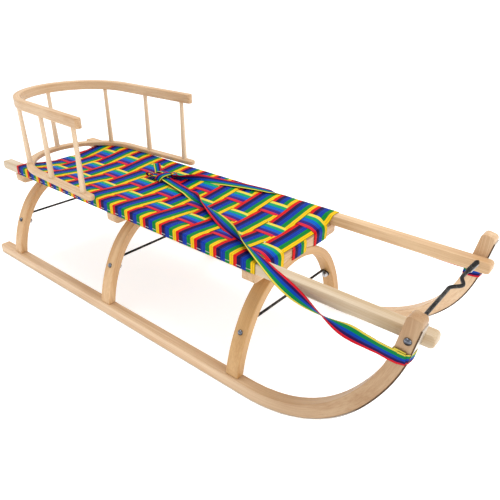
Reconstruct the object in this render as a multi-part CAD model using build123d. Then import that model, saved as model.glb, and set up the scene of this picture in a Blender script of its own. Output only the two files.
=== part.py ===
from build123d import *
import os
from math import atan, cos, degrees, radians, sin, tan

# A bent beech sled with a woven strap seat, a hoop backrest and a tow strap.
# Millimetres. X points forward to the horns, Y to the sled's left and Z up.
# The origin is on the ground, at the middle of the sled's length and width.

# Overall
sled_length = 1100.0
sled_half_width = 175.2
rail_front_left = sled_length / 2 - 3
rail_front_right = sled_length / 2
rear_end = -sled_length / 2

# Seat rails
rail_width = 21.5
rail_height = 20.3
rail_top = 240.5
rail_inner = 108.0
rail_rear = -531.0
rail_end_radius = 7.0
rail_edge_cut = 1.5
rail_outer = rail_inner + rail_width
rail_bottom = rail_top - rail_height

# Runners, bent up into the horns and leaning in to the rails
runner_width = 21.6
runner_height = 25.3
shoe_thickness = 1.8
bend_start = 271.0
sole_radius = 264.5
bend_angle = 79.6
horn_straight_left = 59.5
horn_straight_right = 53.0
shoe_past_bend_left = 50.0
shoe_past_bend_right = 42.0
lean_top = 205.0
tail_radius = 9.0
tip_radius = 7.5
lean = sled_half_width - runner_width - rail_outer

# Bent arches and the crosspieces on them
arch_places = {"rear": -467.8, "middle": -117.8, "front": 238.0}
arch_depth = 27.2
arch_thickness = 17.0
arch_top = 206.0
crown_radius = 154.0
crown_angle = 57.0
leg_radius = 280.0
leg_angle = 24.4
crosspiece_bottom = 198.5
crosspiece_top = 223.5
crosspiece_half = 130.0
crosspiece_end_radius = 11.0
crosspiece_side_cut = 4.0
crosspiece_edge_radius = 6.0

# Tie rods between the legs and the pull bar between the rails, all with eyes to bolt through
rod_radius = 2.8
eye_radius = 8.0
eye_thickness = 3.5
eye_gap = 0.2
leg_bolt_angle = 64.0
tie_elbow_half = 117.8
tie_left_z = 110.5
tie_right_z = 115.5
pull_bar_radius = 3.4
pull_bar_right_x = 517.0
pull_bar_left_x = 521.5
pull_bar_z = 236.0
pull_bar_eye_radius = 9.0
pull_bar_eye_x = 521.5
pull_bar_eye_z = 233.0
kink_y = 28.0
kink_half = 20.0
kink_top_half = 4.0
kink_x = 532.5

# Backrest hoops and spindles
hoop_centre_x = -363.5
hoop_spread = 2.8
base_outer_radius = 140.0
base_width = 17.5
base_height = 10.0
base_left_front = -148.3
base_right_front = -152.3
top_outer_radius = 139.0
top_width = 14.5
top_height = 20.7
top_left_front = -148.0
top_right_front = -158.0
backrest_top = 406.2
base_end_radius = 8.0
top_end_radius = 6.5
spindle_radius = 5.0
spindle_rows_right = [-183.5, -307.0, -428.5]
spindle_rows_left = [-178.0, -296.0, -425.5]

# Woven seat
strap_thickness = 1.3
strap_width = 42.5
strap_pitch = 45.0
cross_strap_count = 16
first_strap_x = -442.45
long_strap_names = ["right", "middle", "left"]
long_strap_y = [-68.0, 2.0, 72.0]
weave_step = 0.8
seat_sag = 8.5
end_sag = 3.3
end_sag_step = 1.1
strap_tail = 221.5
wrap_bottom = 197.5
edge_bend_cut = rail_edge_cut + strap_thickness / 2 * (2 - 2**0.5)
wrap_bend_cut = 1.15
strap_gap = 0.2

# Tow strap
cord_radius = 4.2
cord_flats = 8
loop_height = 19.0
loop_thickness = 2.6
loop_turn = 76.0
loop_tilt = 10.0
knot_x = -161.0
knot_y = 50.0
knot_radius = 24.0
knot_height = 15.0
knot_flats = 12

os.makedirs("parts", exist_ok=True)


def write(name, shape):
    """Write one sub-part to its own file."""
    export_step(shape, f"parts/{name}.step")


def mirrored(left):
    """The right-hand twin of a left-hand piece."""
    return mirror(left, about=Plane.XZ)


def seat_rail(front):
    """The left rail: a straight lath with rounded ends and softened edges."""
    middle = ((front + rail_rear) / 2, (rail_top + rail_bottom) / 2)
    side = RectangleRounded(front - rail_rear, rail_height, rail_end_radius)
    side = Plane.XZ.offset(-rail_inner) * Pos(*middle) * side
    rail = extrude(side, amount=-rail_width)
    return chamfer(rail.faces().filter_by(Axis.Y).edges(), rail_edge_cut)


def runner_edge(depth, straight):
    """A line along the runner at one depth above its sole: flat, bend and horn."""
    flat = Line((rear_end, depth), (bend_start, depth))
    bend = JernArc(flat @ 1, flat % 1, sole_radius - depth, bend_angle)
    horn = Line(bend @ 1, bend @ 1 + (bend % 1) * straight)
    return [flat, bend, horn]


def runner_side(low, high, straight):
    """The side view of the runner between two depths above its sole."""
    outer = runner_edge(low, straight)
    inner = runner_edge(high, straight)
    tip = Line(outer[-1] @ 1, inner[-1] @ 1)
    tail = Line(outer[0] @ 0, inner[0] @ 0)
    return make_face([*outer, tip, *inner, tail])


def lean_edge(foot_y):
    """A face of the left runner seen from the front: upright, two arcs in, upright."""
    rise = lean_top - runner_height
    turn = 2 * atan(lean / rise)
    radius = rise / 2 / sin(turn)
    foot = Line((foot_y, 0), (foot_y, runner_height))
    into = JernArc(foot @ 1, foot % 1, radius, degrees(turn))
    out = JernArc(into @ 1, into % 1, radius, -degrees(turn))
    top = Line(out @ 1, out @ 1 + Vector(0, rail_top, 0))
    return [foot, into, out, top]


def lean_band():
    """The slab, as wide as the left runner, that gives it its lean."""
    outer = lean_edge(sled_half_width)
    inner = lean_edge(sled_half_width - runner_width)
    bottom = Line(outer[0] @ 0, inner[0] @ 0)
    top = Line(outer[-1] @ 1, inner[-1] @ 1)
    face = make_face([*outer, top, *inner, bottom])
    return extrude(Plane.YZ * face, amount=sled_length, both=True)


def across(face):
    """A side view drawn out over the sled's whole width."""
    return extrude(Plane.XZ * face, amount=sled_length, both=True)


def runner(straight):
    """The left runner's wood, above its steel shoe, with a horn of the given straight part."""
    side = runner_side(shoe_thickness, runner_height, straight)
    tail = side.vertices().sort_by(Axis.X)[:2].sort_by(Axis.Y)[-1]
    side = fillet(tail, tail_radius)
    side = fillet(side.vertices().sort_by(Axis.Y)[-2:], tip_radius)
    return across(side) & lean_band()


def shoe(straight):
    """The left runner's steel shoe, up the given part of the horn."""
    side = runner_side(0, shoe_thickness, straight)
    return across(side) & lean_band()


def arch_face():
    """The front view of an arch, with level feet on the runners."""
    middle = arch_top - arch_thickness / 2
    crown = JernArc((0, middle), (1, 0), crown_radius - arch_thickness / 2, -crown_angle)
    leg = JernArc(crown @ 1, crown % 1, leg_radius - arch_thickness / 2, -leg_angle)
    foot = Line(leg @ 1, leg @ 1 + (leg % 1) * arch_thickness)
    half = trace([crown, leg, foot], arch_thickness)
    ground = Pos(0, runner_height) * Rectangle(
        sled_length, sled_length, align=(Align.CENTER, Align.MAX)
    )
    return half + mirror(half, about=Plane.YZ) - ground


def arch():
    """A bent arch: both legs and the crown in one piece."""
    return extrude(Plane.YZ * arch_face(), amount=arch_depth / 2, both=True)


def crosspiece(arch_solid):
    """The board on an arch that carries the rails and straps, hollowed to the arch's crown."""
    ends_height = rail_bottom - crosspiece_bottom
    ends = Rectangle(2 * crosspiece_half, ends_height)
    ends = fillet(ends.vertices().group_by(Axis.Y)[0], crosspiece_end_radius)
    ends = Pos(0, crosspiece_bottom + ends_height / 2) * ends
    plan = Rectangle(arch_depth, 2 * crosspiece_half)
    plan = chamfer(plan.vertices(), crosspiece_side_cut)
    low = extrude(Plane.YZ * ends, amount=arch_depth / 2, both=True)
    low = low & extrude(plan, amount=crosspiece_top)
    board_height = crosspiece_top - crosspiece_bottom
    board = Pos(0, 0, crosspiece_bottom + board_height / 2) * Box(
        arch_depth, 2 * rail_inner, board_height
    )
    top_edges = board.faces().sort_by(Axis.Z)[-1].edges().filter_by(Axis.Y)
    return low + fillet(top_edges, crosspiece_edge_radius) - arch_solid


def leg_frame(angle):
    """Where a leg's inner face is at one slope: its place and its outward direction."""
    turn = radians(angle)
    crown = radians(crown_angle)
    y = crown_radius * sin(crown) + leg_radius * (sin(turn) - sin(crown))
    z = arch_top - crown_radius * (1 - cos(crown)) - leg_radius * (cos(crown) - cos(turn))
    outward = Vector(0, sin(turn), cos(turn))
    return Vector(0, y, z) - outward * arch_thickness, outward


def rod_with_eyes(points, radius, eye_place, eye_radius):
    """A bent rod along the points, with an eye on the left and its mirror image on the right."""
    path = Polyline(*points)
    section = Plane(path @ 0, z_dir=path % 0) * Circle(radius)
    rod = sweep(section, path=path, transition=Transition.RIGHT)
    eye = eye_place * Cylinder(eye_radius, eye_thickness)
    return rod + eye + mirror(eye, about=Plane.XZ)


def tie_rod():
    """The rod between an arch's legs, with an eye at each end on the leg's inner face."""
    face, outward = leg_frame(leg_bolt_angle)
    eye = Plane(origin=face - outward * (eye_thickness / 2 + eye_gap), z_dir=outward)
    tip = face - outward * (eye_gap + rod_radius)
    points = [
        (0, -tip.Y, tip.Z),
        (0, -tie_elbow_half, tie_right_z),
        (0, tie_elbow_half, tie_left_z),
        (0, tip.Y, tip.Z),
    ]
    return rod_with_eyes(points, rod_radius, eye, eye_radius)


def pull_bar():
    """The bar between the rails, kinked to keep a rope in place."""
    end = rail_inner - eye_thickness / 2
    points = [
        (pull_bar_right_x, -end, pull_bar_z),
        (pull_bar_right_x, kink_y - kink_half, pull_bar_z),
        (kink_x, kink_y - kink_top_half, pull_bar_z),
        (kink_x, kink_y + kink_top_half, pull_bar_z),
        (pull_bar_left_x, kink_y + kink_half, pull_bar_z),
        (pull_bar_left_x, end, pull_bar_z),
    ]
    eye = Plane(origin=(pull_bar_eye_x, end, pull_bar_eye_z), z_dir=(0, 1, 0))
    return rod_with_eyes(points, pull_bar_radius, eye, pull_bar_eye_radius)


def hoop_line(outer_radius, width, front):
    """The left half of a hoop's centre line, from the back to the end of the arm."""
    middle = outer_radius - width / 2
    back = JernArc((hoop_centre_x - middle, 0), (0, 1), middle, hoop_spread - 90)
    reach = (front - (back @ 1).X) / cos(radians(hoop_spread))
    return [back, Line(back @ 1, back @ 1 + (back % 1) * reach)]


def hoop_half(outer_radius, width, front, end_radius):
    """The plan of a hoop's left half, with its arm's end rounded."""
    half = trace(hoop_line(outer_radius, width, front), width)
    return fillet(half.vertices().sort_by(Axis.X)[-2:], end_radius)


def hoop(outer_radius, width, height, fronts, bottom, end_radius):
    """A bent hoop, open to the front, with one front for each arm, left and right."""
    left = hoop_half(outer_radius, width, fronts[0], end_radius)
    right = hoop_half(outer_radius, width, fronts[1], end_radius)
    face = left + mirror(right, about=Plane.XZ)
    return extrude(Pos(0, 0, bottom) * face, amount=height)


def spindle(bottom, top):
    """A plain turned spindle between the hoops."""
    rod = Cylinder(spindle_radius, top - bottom, align=(Align.CENTER, Align.CENTER, Align.MIN))
    return Pos(0, 0, bottom) * rod


def spindle_places():
    """The spindles' places: three along each arm, right then left, and one at the back."""
    back, arm = hoop_line(base_outer_radius, base_width, base_left_front)
    middle = base_outer_radius - base_width / 2
    places = []
    for pair in zip(spindle_rows_right, spindle_rows_left):
        for side, x in zip((-1, 1), pair):
            if x > (arm @ 0).X:
                y = (arm @ 0).Y + (x - (arm @ 0).X) * tan(radians(hoop_spread))
            else:
                y = (middle**2 - (x - hoop_centre_x) ** 2) ** 0.5
            places.append((x, side * y))
    return places + [(hoop_centre_x - middle, 0)]


def ribbon(points, thickness):
    """A face of even thickness along a line of points, with mitred corners."""
    line = [Vector(*point) for point in points]
    one_side = []
    other_side = []
    for i, point in enumerate(line):
        before = (point - line[i - 1]).normalized() if i else None
        after = (line[i + 1] - point).normalized() if i + 1 < len(line) else None
        along = (before or after) + (after or before)
        normal = Vector(-along.Y, along.X, 0).normalized()
        lean_of_corner = normal.dot(Vector(-(after or before).Y, (after or before).X, 0))
        offset = normal * (thickness / 2 / lean_of_corner)
        one_side.append(point + offset)
        other_side.append(point - offset)
    return make_face(Polyline(*one_side, *reversed(other_side), close=True))


def long_strap_over(cross, row):
    """Whether a long strap lies over a cross strap."""
    return (cross + row + cross_strap_count) % 2 == 1


def seat_height(cross, row):
    """The middle height of the weave where a cross strap meets a long strap."""
    steps = min(cross, cross_strap_count - 1 - cross)
    sag = seat_sag + max(0, end_sag - end_sag_step * steps)
    return rail_top + strap_thickness / 2 - sag * (1 - (long_strap_y[row] / rail_inner) ** 2)


def cross_strap(cross):
    """A strap from rail to rail, down both rails' outer faces and through the long straps."""
    half = strap_thickness / 2
    top = rail_top + half
    outer = rail_outer + half
    slack = rail_inner - 1
    side = outer - edge_bend_cut
    corner = top - edge_bend_cut
    points = [(-outer, strap_tail), (-outer, corner), (-side, top), (-slack, top)]
    for row, y in enumerate(long_strap_y):
        step = -weave_step if long_strap_over(cross, row) else weave_step
        height = seat_height(cross, row) + step
        reach = strap_width / 2 + strap_gap
        points += [(y - reach, height), (y + reach, height)]
    points += [(slack, top), (side, top), (outer, corner), (outer, strap_tail)]
    face = Plane.YZ.offset(first_strap_x + cross * strap_pitch) * ribbon(points, strap_thickness)
    return extrude(face, amount=strap_width / 2, both=True)


def long_strap(row):
    """A strap from the rear crosspiece to the front one, through the cross straps."""
    half = strap_thickness / 2
    rear = arch_places["rear"] - arch_depth / 2 - half
    front = arch_places["front"] + arch_depth / 2 + half
    points = []
    for cross in range(cross_strap_count):
        x = first_strap_x + cross * strap_pitch
        step = weave_step if long_strap_over(cross, row) else -weave_step
        height = seat_height(cross, row) + step
        points += [(x - strap_width / 2, height), (x + strap_width / 2, height)]
    first = points[0][1]
    last = points[-1][1]
    tip = points[-1][0] + strap_thickness + strap_gap
    down = [(tip - wrap_bend_cut, last), (tip, last - wrap_bend_cut), (front, last - strap_width / 4)]
    points = points[:-1] + down + [(front, wrap_bottom)]
    back = [(rear, wrap_bottom), (rear, first - wrap_bend_cut), (rear + wrap_bend_cut, first)]
    face = ribbon(back + points, strap_thickness)
    place = Plane.XZ.offset(-long_strap_y[row])
    return extrude(place * face, amount=strap_width / 2, both=True)


def horn_loop(runner_solid, shoe_solid):
    """The strap's loop round the left horn, just below the rail."""
    turn = radians(loop_turn)
    centre_radius = sole_radius - runner_height / 2
    x = bend_start + centre_radius * sin(turn)
    z = sole_radius - centre_radius * cos(turn)
    y = rail_outer + runner_width / 2
    block = Box(runner_height + 2 * loop_thickness, runner_width + 2 * loop_thickness, loop_height)
    return Pos(x, y, z) * Rot(0, loop_tilt, 0) * block - runner_solid - shoe_solid


def knot():
    """The knot where the strap's two strands meet, as a low round lump on the seat."""
    height = seat_height(7, 2) + weave_step + strap_thickness / 2
    outline = RegularPolygon(knot_radius, knot_flats)
    return extrude(Pos(knot_x, knot_y, height) * outline, amount=knot_height)


def strand(points, name, loop):
    """A strand of the tow strap, from a horn loop to the knot, along runs and wide arcs."""
    line = [Vector(*point) for point in points]
    radii = []
    for before, point, after in zip(line, line[1:], line[2:]):
        turn = radians((point - before).get_angle(after - point))
        run = min((point - before).length, (after - point).length)
        radii.append(0.45 * run / tan(turn / 2))
    print(name, "radii", [round(radius) for radius in radii])
    path = FilletPolyline(*points, radius=radii)
    section = RegularPolygon(cord_radius, cord_flats)
    tube = sweep(Plane(path @ 0, z_dir=path % 0) * section, path=path)
    share = tube.volume / (path.length * section.area)
    print(name, "length", round(path.length), "volume ratio", round(share, 4))
    free = tube - loop - strap_knot
    return free.solids().sort_by(SortBy.VOLUME)[-1]


right_route = [
    (501, -147, 203),
    (451, -147, 203),
    (403, -143, 207),
    (353, -141, 220),
    (307, -139, 238),
    (265, -126, 251),
    (225, -106, 251),
    (183, -82, 245),
    (135, -60, 243),
    (75, -31, 242),
    (21, -6, 241),
    (-39, 15, 241),
    (-92, 26, 241),
    (-139, 40, 241),
]
left_route = [
    (501, 147, 203),
    (443, 148, 205),
    (383, 147, 207),
    (318, 147, 211),
    (253, 148, 217),
    (191, 146, 227),
    (137, 138, 241),
    (91, 123, 252),
    (41, 110, 252),
    (-5, 101, 247),
    (-57, 90, 245),
    (-101, 68, 244),
    (-141, 54, 243),
]

left_runner = runner(horn_straight_left)
left_shoe = shoe(shoe_past_bend_left)
write("rail_left", seat_rail(rail_front_left))
write("rail_right", mirrored(seat_rail(rail_front_right)))
write("runner_left", left_runner)
write("runner_right", mirrored(runner(horn_straight_right)))
write("shoe_left", left_shoe)
write("shoe_right", mirrored(shoe(shoe_past_bend_right)))

for place, x in arch_places.items():
    arch_solid = arch()
    write(f"arch_{place}", Pos(x, 0, 0) * arch_solid)
    write(f"crosspiece_{place}", Pos(x, 0, 0) * crosspiece(arch_solid))
    write(f"tie_rod_{place}", Pos(x, 0, 0) * tie_rod())

write("pull_bar", pull_bar())

base_bottom = rail_top + strap_thickness
base_top = base_bottom + base_height
base_fronts = [base_left_front, base_right_front]
base = hoop(base_outer_radius, base_width, base_height, base_fronts, base_bottom, base_end_radius)
write("backrest_base", base)
top_bottom = backrest_top - top_height
top_fronts = [top_left_front, top_right_front]
top = hoop(top_outer_radius, top_width, top_height, top_fronts, top_bottom, top_end_radius)
write("backrest_top", top)
for number, (x, y) in enumerate(spindle_places(), start=1):
    write(f"spindle_{number}", Pos(x, y, 0) * spindle(base_top, top_bottom))

for cross in range(cross_strap_count):
    write(f"cross_strap_{cross + 1:02d}", cross_strap(cross))
for row, name in enumerate(long_strap_names):
    write(f"long_strap_{name}", long_strap(row))

left_loop = horn_loop(left_runner, left_shoe)
right_loop = mirrored(left_loop)
strap_knot = knot()
write("horn_loop_left", left_loop)
write("horn_loop_right", right_loop)
write("tow_knot", strap_knot)
write("tow_strand_left", strand(left_route, "left strand", left_loop))
write("tow_strand_right", strand(right_route, "right strand", right_loop))
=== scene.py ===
"""A bent-beech sled with a woven strap seat, a hoop backrest and a tow strap.

Lengths are metres, +X runs forward to the horns, +Y to the sled's left and +Z up.
"""

import logging
from dataclasses import dataclass, field
from enum import Enum
from math import cos, pi, radians, sin
from typing import Callable, Sequence

import bmesh
import bpy
from mathutils import Matrix, Vector


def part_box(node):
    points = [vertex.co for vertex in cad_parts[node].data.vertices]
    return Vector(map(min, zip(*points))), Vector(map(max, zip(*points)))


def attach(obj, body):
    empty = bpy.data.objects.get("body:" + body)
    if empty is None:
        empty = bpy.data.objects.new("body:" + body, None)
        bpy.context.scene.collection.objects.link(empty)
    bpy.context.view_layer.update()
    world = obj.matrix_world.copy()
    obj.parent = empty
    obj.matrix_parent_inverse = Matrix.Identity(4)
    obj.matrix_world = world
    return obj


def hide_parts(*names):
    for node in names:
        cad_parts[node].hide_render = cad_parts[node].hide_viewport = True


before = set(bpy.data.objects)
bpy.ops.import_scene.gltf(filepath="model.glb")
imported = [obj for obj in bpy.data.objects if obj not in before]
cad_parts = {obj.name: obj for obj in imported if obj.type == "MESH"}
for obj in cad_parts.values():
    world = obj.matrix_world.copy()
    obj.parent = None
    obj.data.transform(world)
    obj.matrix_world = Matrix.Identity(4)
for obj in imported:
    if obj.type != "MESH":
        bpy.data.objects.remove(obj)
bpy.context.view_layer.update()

BODY = "root"
SHARP_EDGE = radians(40)
TUBE_SIDES = 16
WHITE = (1.0, 1.0, 1.0, 1.0)
LOG = logging.getLogger("sled")

FORWARD = Vector((1, 0, 0))
LEFTWARD = Vector((0, 1, 0))
UPWARD = Vector((0, 0, 1))

Point = tuple[float, float, float]
Stops = tuple[tuple[float, float], ...]
Colour = tuple[float, float, float]
Socket = bpy.types.NodeSocket
Value = Socket | float
Inputs = dict[str | int, Value | tuple]


def linear(red: int, green: int, blue: int) -> Colour:
    """Turn a display colour into a linear one.

    Args:
        red: The red value, 0 to 255.
        green: The green value, 0 to 255.
        blue: The blue value, 0 to 255.

    Returns:
        The linear colour.
    """
    shares = [value / 255 for value in (red, green, blue)]
    return tuple(s / 12.92 if s <= 0.04045 else ((s + 0.055) / 1.055) ** 2.4 for s in shares)


def box_centre(node: str) -> Vector:
    """Return the middle of a frame node's box."""
    low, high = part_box(node)
    return (low + high) / 2


class Side(Enum):
    """A side of the sled, with its sign along Y."""

    LEFT = 1
    RIGHT = -1

    @property
    def word(self) -> str:
        """Return the side's name as the frame's nodes spell it."""
        return self.name.lower()


class Arch(Enum):
    """One of the three arches, by its place along the sled."""

    REAR = "rear"
    MIDDLE = "middle"
    FRONT = "front"


# ---------------------------------------------------------------------------
# Lines and meshes
# ---------------------------------------------------------------------------


def smooth_line(points: Sequence[Sequence[float]], resolution: int = 8) -> list[Vector]:
    """Read the points of a smooth NURBS line over a row of control points.

    Args:
        points: The control points.
        resolution: The number of points read from each stretch.

    Returns:
        The points along the line.
    """
    data = bpy.data.curves.new("line", "CURVE")
    data.dimensions = "3D"
    spline = data.splines.new("NURBS")
    spline.points.add(len(points) - 1)
    for control, point in zip(spline.points, points):
        control.co = (*point, 1.0)
    spline.order_u = 3
    spline.use_endpoint_u = True
    spline.resolution_u = resolution
    holder = bpy.data.objects.new("line", data)
    mesh = bpy.data.meshes.new_from_object(holder)
    line = [vertex.co.copy() for vertex in mesh.vertices]
    bpy.data.meshes.remove(mesh)
    bpy.data.objects.remove(holder)
    bpy.data.curves.remove(data)
    return line


def in_metres(route: Sequence[Point]) -> list[Point]:
    """Return a route that is given in millimetres in metres."""
    return [tuple(c / 1000 for c in point) for point in route]


def tangents(line: Sequence[Vector]) -> list[Vector]:
    """Return the direction of a line at each of its points."""
    last = len(line) - 1
    return [(line[min(i + 1, last)] - line[max(i - 1, 0)]).normalized() for i in range(last + 1)]


def shares(line: Sequence[Vector]) -> list[float]:
    """Find how far along a line each of its points is.

    Args:
        line: The points.

    Returns:
        The share of the line's length at each point, from 0 to 1.
    """
    places = [0.0]
    for a, b in zip(line, line[1:]):
        places.append(places[-1] + (b - a).length)
    return [place / places[-1] for place in places]


def between(stops: Sequence[tuple[float, float]], place: float) -> float:
    """Read a value from a row of stops.

    Args:
        stops: Pairs of a place and its value, in order.
        place: Where to read.

    Returns:
        The value there.
    """
    if place <= stops[0][0]:
        return stops[0][1]
    for (start, low), (end, high) in zip(stops, stops[1:]):
        if place <= end:
            return low + (high - low) * (place - start) / (end - start)
    return stops[-1][1]


def frame_on(axis: Vector) -> tuple[Vector, Vector]:
    """Return two directions square to an axis, and to each other.

    Args:
        axis: The axis.

    Returns:
        The two directions.
    """
    hint = UPWARD if abs(axis.z) < 0.9 else FORWARD
    first = (hint - axis * hint.dot(axis)).normalized()
    return first, axis.cross(first)


def circle(
    place: Vector, axes: tuple[Vector, Vector], radius: float, sides: int, start: float = 0.0
) -> list[Vector]:
    """Return points evenly spaced on a circle.

    Args:
        place: The circle's middle.
        axes: Two directions in its plane.
        radius: Its radius.
        sides: The number of points.
        start: The angle of the first point.

    Returns:
        The points.
    """
    across, over = axes
    turns = [start + 2 * pi * i / sides for i in range(sides)]
    return [place + (across * cos(turn) + over * sin(turn)) * radius for turn in turns]


@dataclass
class Loft:
    """A capped skin over rings of equal count, with an optional flat place for each point."""

    rings: list[list[Vector]]
    flat: list[list[tuple[float, float]]] | None = None

    def add_to(self, mesh: bmesh.types.BMesh) -> None:
        """Add the skin to a mesh under construction.

        Args:
            mesh: The mesh that receives it.
        """
        layer = mesh.loops.layers.uv.verify()
        rows = [[mesh.verts.new(point) for point in ring] for ring in self.rings]
        place = {}
        if self.flat:
            for row, coordinates in zip(rows, self.flat):
                place.update(zip(row, coordinates))
        count = len(self.rings[0])
        faces = []
        for near, far in zip(rows, rows[1:]):
            for i in range(count):
                j = (i + 1) % count
                faces.append(mesh.faces.new((near[i], near[j], far[j], far[i])))
        faces.append(mesh.faces.new(rows[0][::-1]))
        faces.append(mesh.faces.new(rows[-1]))
        for face in faces:
            for corner in face.loops:
                corner[layer].uv = place.get(corner.vert, (0.0, 0.0))


def tube(line: Sequence[Vector], radii: Sequence[float]) -> Loft:
    """Build a round tube along a line.

    Args:
        line: The points that it follows.
        radii: Its radius at each point.

    Returns:
        The tube's skin.
    """
    rings = []
    directions = tangents(line)
    across, _ = frame_on(directions[0])
    for point, along, radius in zip(line, directions, radii):
        across = (across - along * across.dot(along)).normalized()
        rings.append(circle(point, (across, along.cross(across)), radius, TUBE_SIDES))
    return Loft(rings)


def turned(
    profile: Sequence[tuple[float, float]], place: Vector, axis: Vector, sides: int = 28
) -> Loft:
    """Build a turned form round an axis.

    Args:
        profile: Pairs of a height along the axis and the radius there.
        place: The point at height 0.
        axis: The direction of the axis.
        sides: The number of its sides.

    Returns:
        The form's skin.
    """
    axis = axis.normalized()
    axes = frame_on(axis)
    return Loft([circle(place + axis * height, axes, radius, sides) for height, radius in profile])


def hexagon(place: Vector, axis: Vector, flats: float, height: float, turn: float = 0.0) -> Loft:
    """Build a hexagon nut with softened corners.

    Args:
        place: The middle of its base.
        axis: The direction it stands in.
        flats: Its width across flats.
        height: Its height.
        turn: Its turn about the axis.

    Returns:
        The nut's skin.
    """
    axis = axis.normalized()
    axes = frame_on(axis)
    corner = flats / 2 / cos(pi / 6)
    rings = []
    for level, scale in ((0.0, 0.9), (0.12, 1.0), (0.88, 1.0), (1.0, 0.9)):
        rings.append(circle(place + axis * (level * height), axes, corner * scale, 6, turn))
    return Loft(rings)


def block(centre: Vector, axes: tuple[Vector, Vector, Vector], size: Point) -> Loft:
    """Build a small block with softened long edges.

    Args:
        centre: Its middle.
        axes: Its length, width and height directions.
        size: Its length, width and height.

    Returns:
        The block's skin.
    """
    length, width, height = size
    along, across, up = axes
    soft = 0.3
    ring_shape = [
        (-1, -1 + soft), (-1 + soft, -1), (1 - soft, -1), (1, -1 + soft),
        (1, 1 - soft), (1 - soft, 1), (-1 + soft, 1), (-1, 1 - soft),
    ]
    rings = []
    for reach in (-0.5, 0.5):
        middle = centre + along * (length * reach)
        rings.append(
            [middle + across * (width / 2 * a) + up * (height / 2 * b) for a, b in ring_shape]
        )
    return Loft(rings)


def ribbon(
    line: Sequence[Vector],
    across: Sequence[Vector],
    widths: Sequence[float],
    thickness: float,
    ribs: int = 10,
    settle: Callable[[Vector, float], Vector] | None = None,
) -> Loft:
    """Build a woven strap along a line, with ribs that run its length.

    Args:
        line: The points its middle follows.
        across: The direction of its width at each point, from its red to its yellow edge.
        widths: Its width at each point.
        thickness: Its thickness.
        ribs: The number of ribs across it.
        settle: Where a place ends up, from where it was and its share across.

    Returns:
        The strap's skin, with its length and its share across as the flat place.
    """
    columns = 2 * ribs
    rib_height = thickness * 0.1
    edge_thinning = 0.55
    rings = []
    flat = []
    travelled = 0.0
    previous = line[0]
    for point, along, side, width in zip(line, tangents(line), across, widths):
        travelled += (point - previous).length
        previous = point
        side = (side - along * side.dot(along)).normalized()
        up = along.cross(side)
        top = []
        bottom = []
        for i in range(columns + 1):
            v = i / columns
            edge = abs(2 * v - 1)
            half = thickness / 2 * (1 - edge_thinning * edge**10) - (0 if i % 2 else rib_height)
            base = point + side * ((v - 0.5) * width)
            if settle:
                base = settle(base, v)
            top.append(base + up * half)
            bottom.append(base - up * half)
        rings.append(top + bottom[::-1])
        row = [(travelled, i / columns) for i in range(columns + 1)]
        flat.append(row + row[::-1])
    return Loft(rings, flat)


def make_piece(
    name: str,
    skins: Sequence[Loft],
    material: bpy.types.Material,
    replaced: Sequence[str] = (),
) -> bpy.types.Object:
    """Make one piece of the sled from its skins.

    Args:
        name: The piece's name.
        skins: The skins that make it up.
        material: Its finish.
        replaced: The frame nodes that it stands for.

    Returns:
        The piece.
    """
    mesh = bmesh.new()
    for skin in skins:
        skin.add_to(mesh)
    bmesh.ops.recalc_face_normals(mesh, faces=mesh.faces)
    data = bpy.data.meshes.new(name)
    mesh.to_mesh(data)
    mesh.free()
    data.shade_smooth()
    data.set_sharp_from_angle(angle=SHARP_EDGE)
    data.materials.append(material)
    piece = bpy.data.objects.new(name, data)
    bpy.context.scene.collection.objects.link(piece)
    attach(piece, BODY)
    if replaced:
        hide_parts(*replaced)
    LOG.info("%s: %d faces", name, len(data.polygons))
    return piece


# ---------------------------------------------------------------------------
# Finishes
# ---------------------------------------------------------------------------


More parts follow.
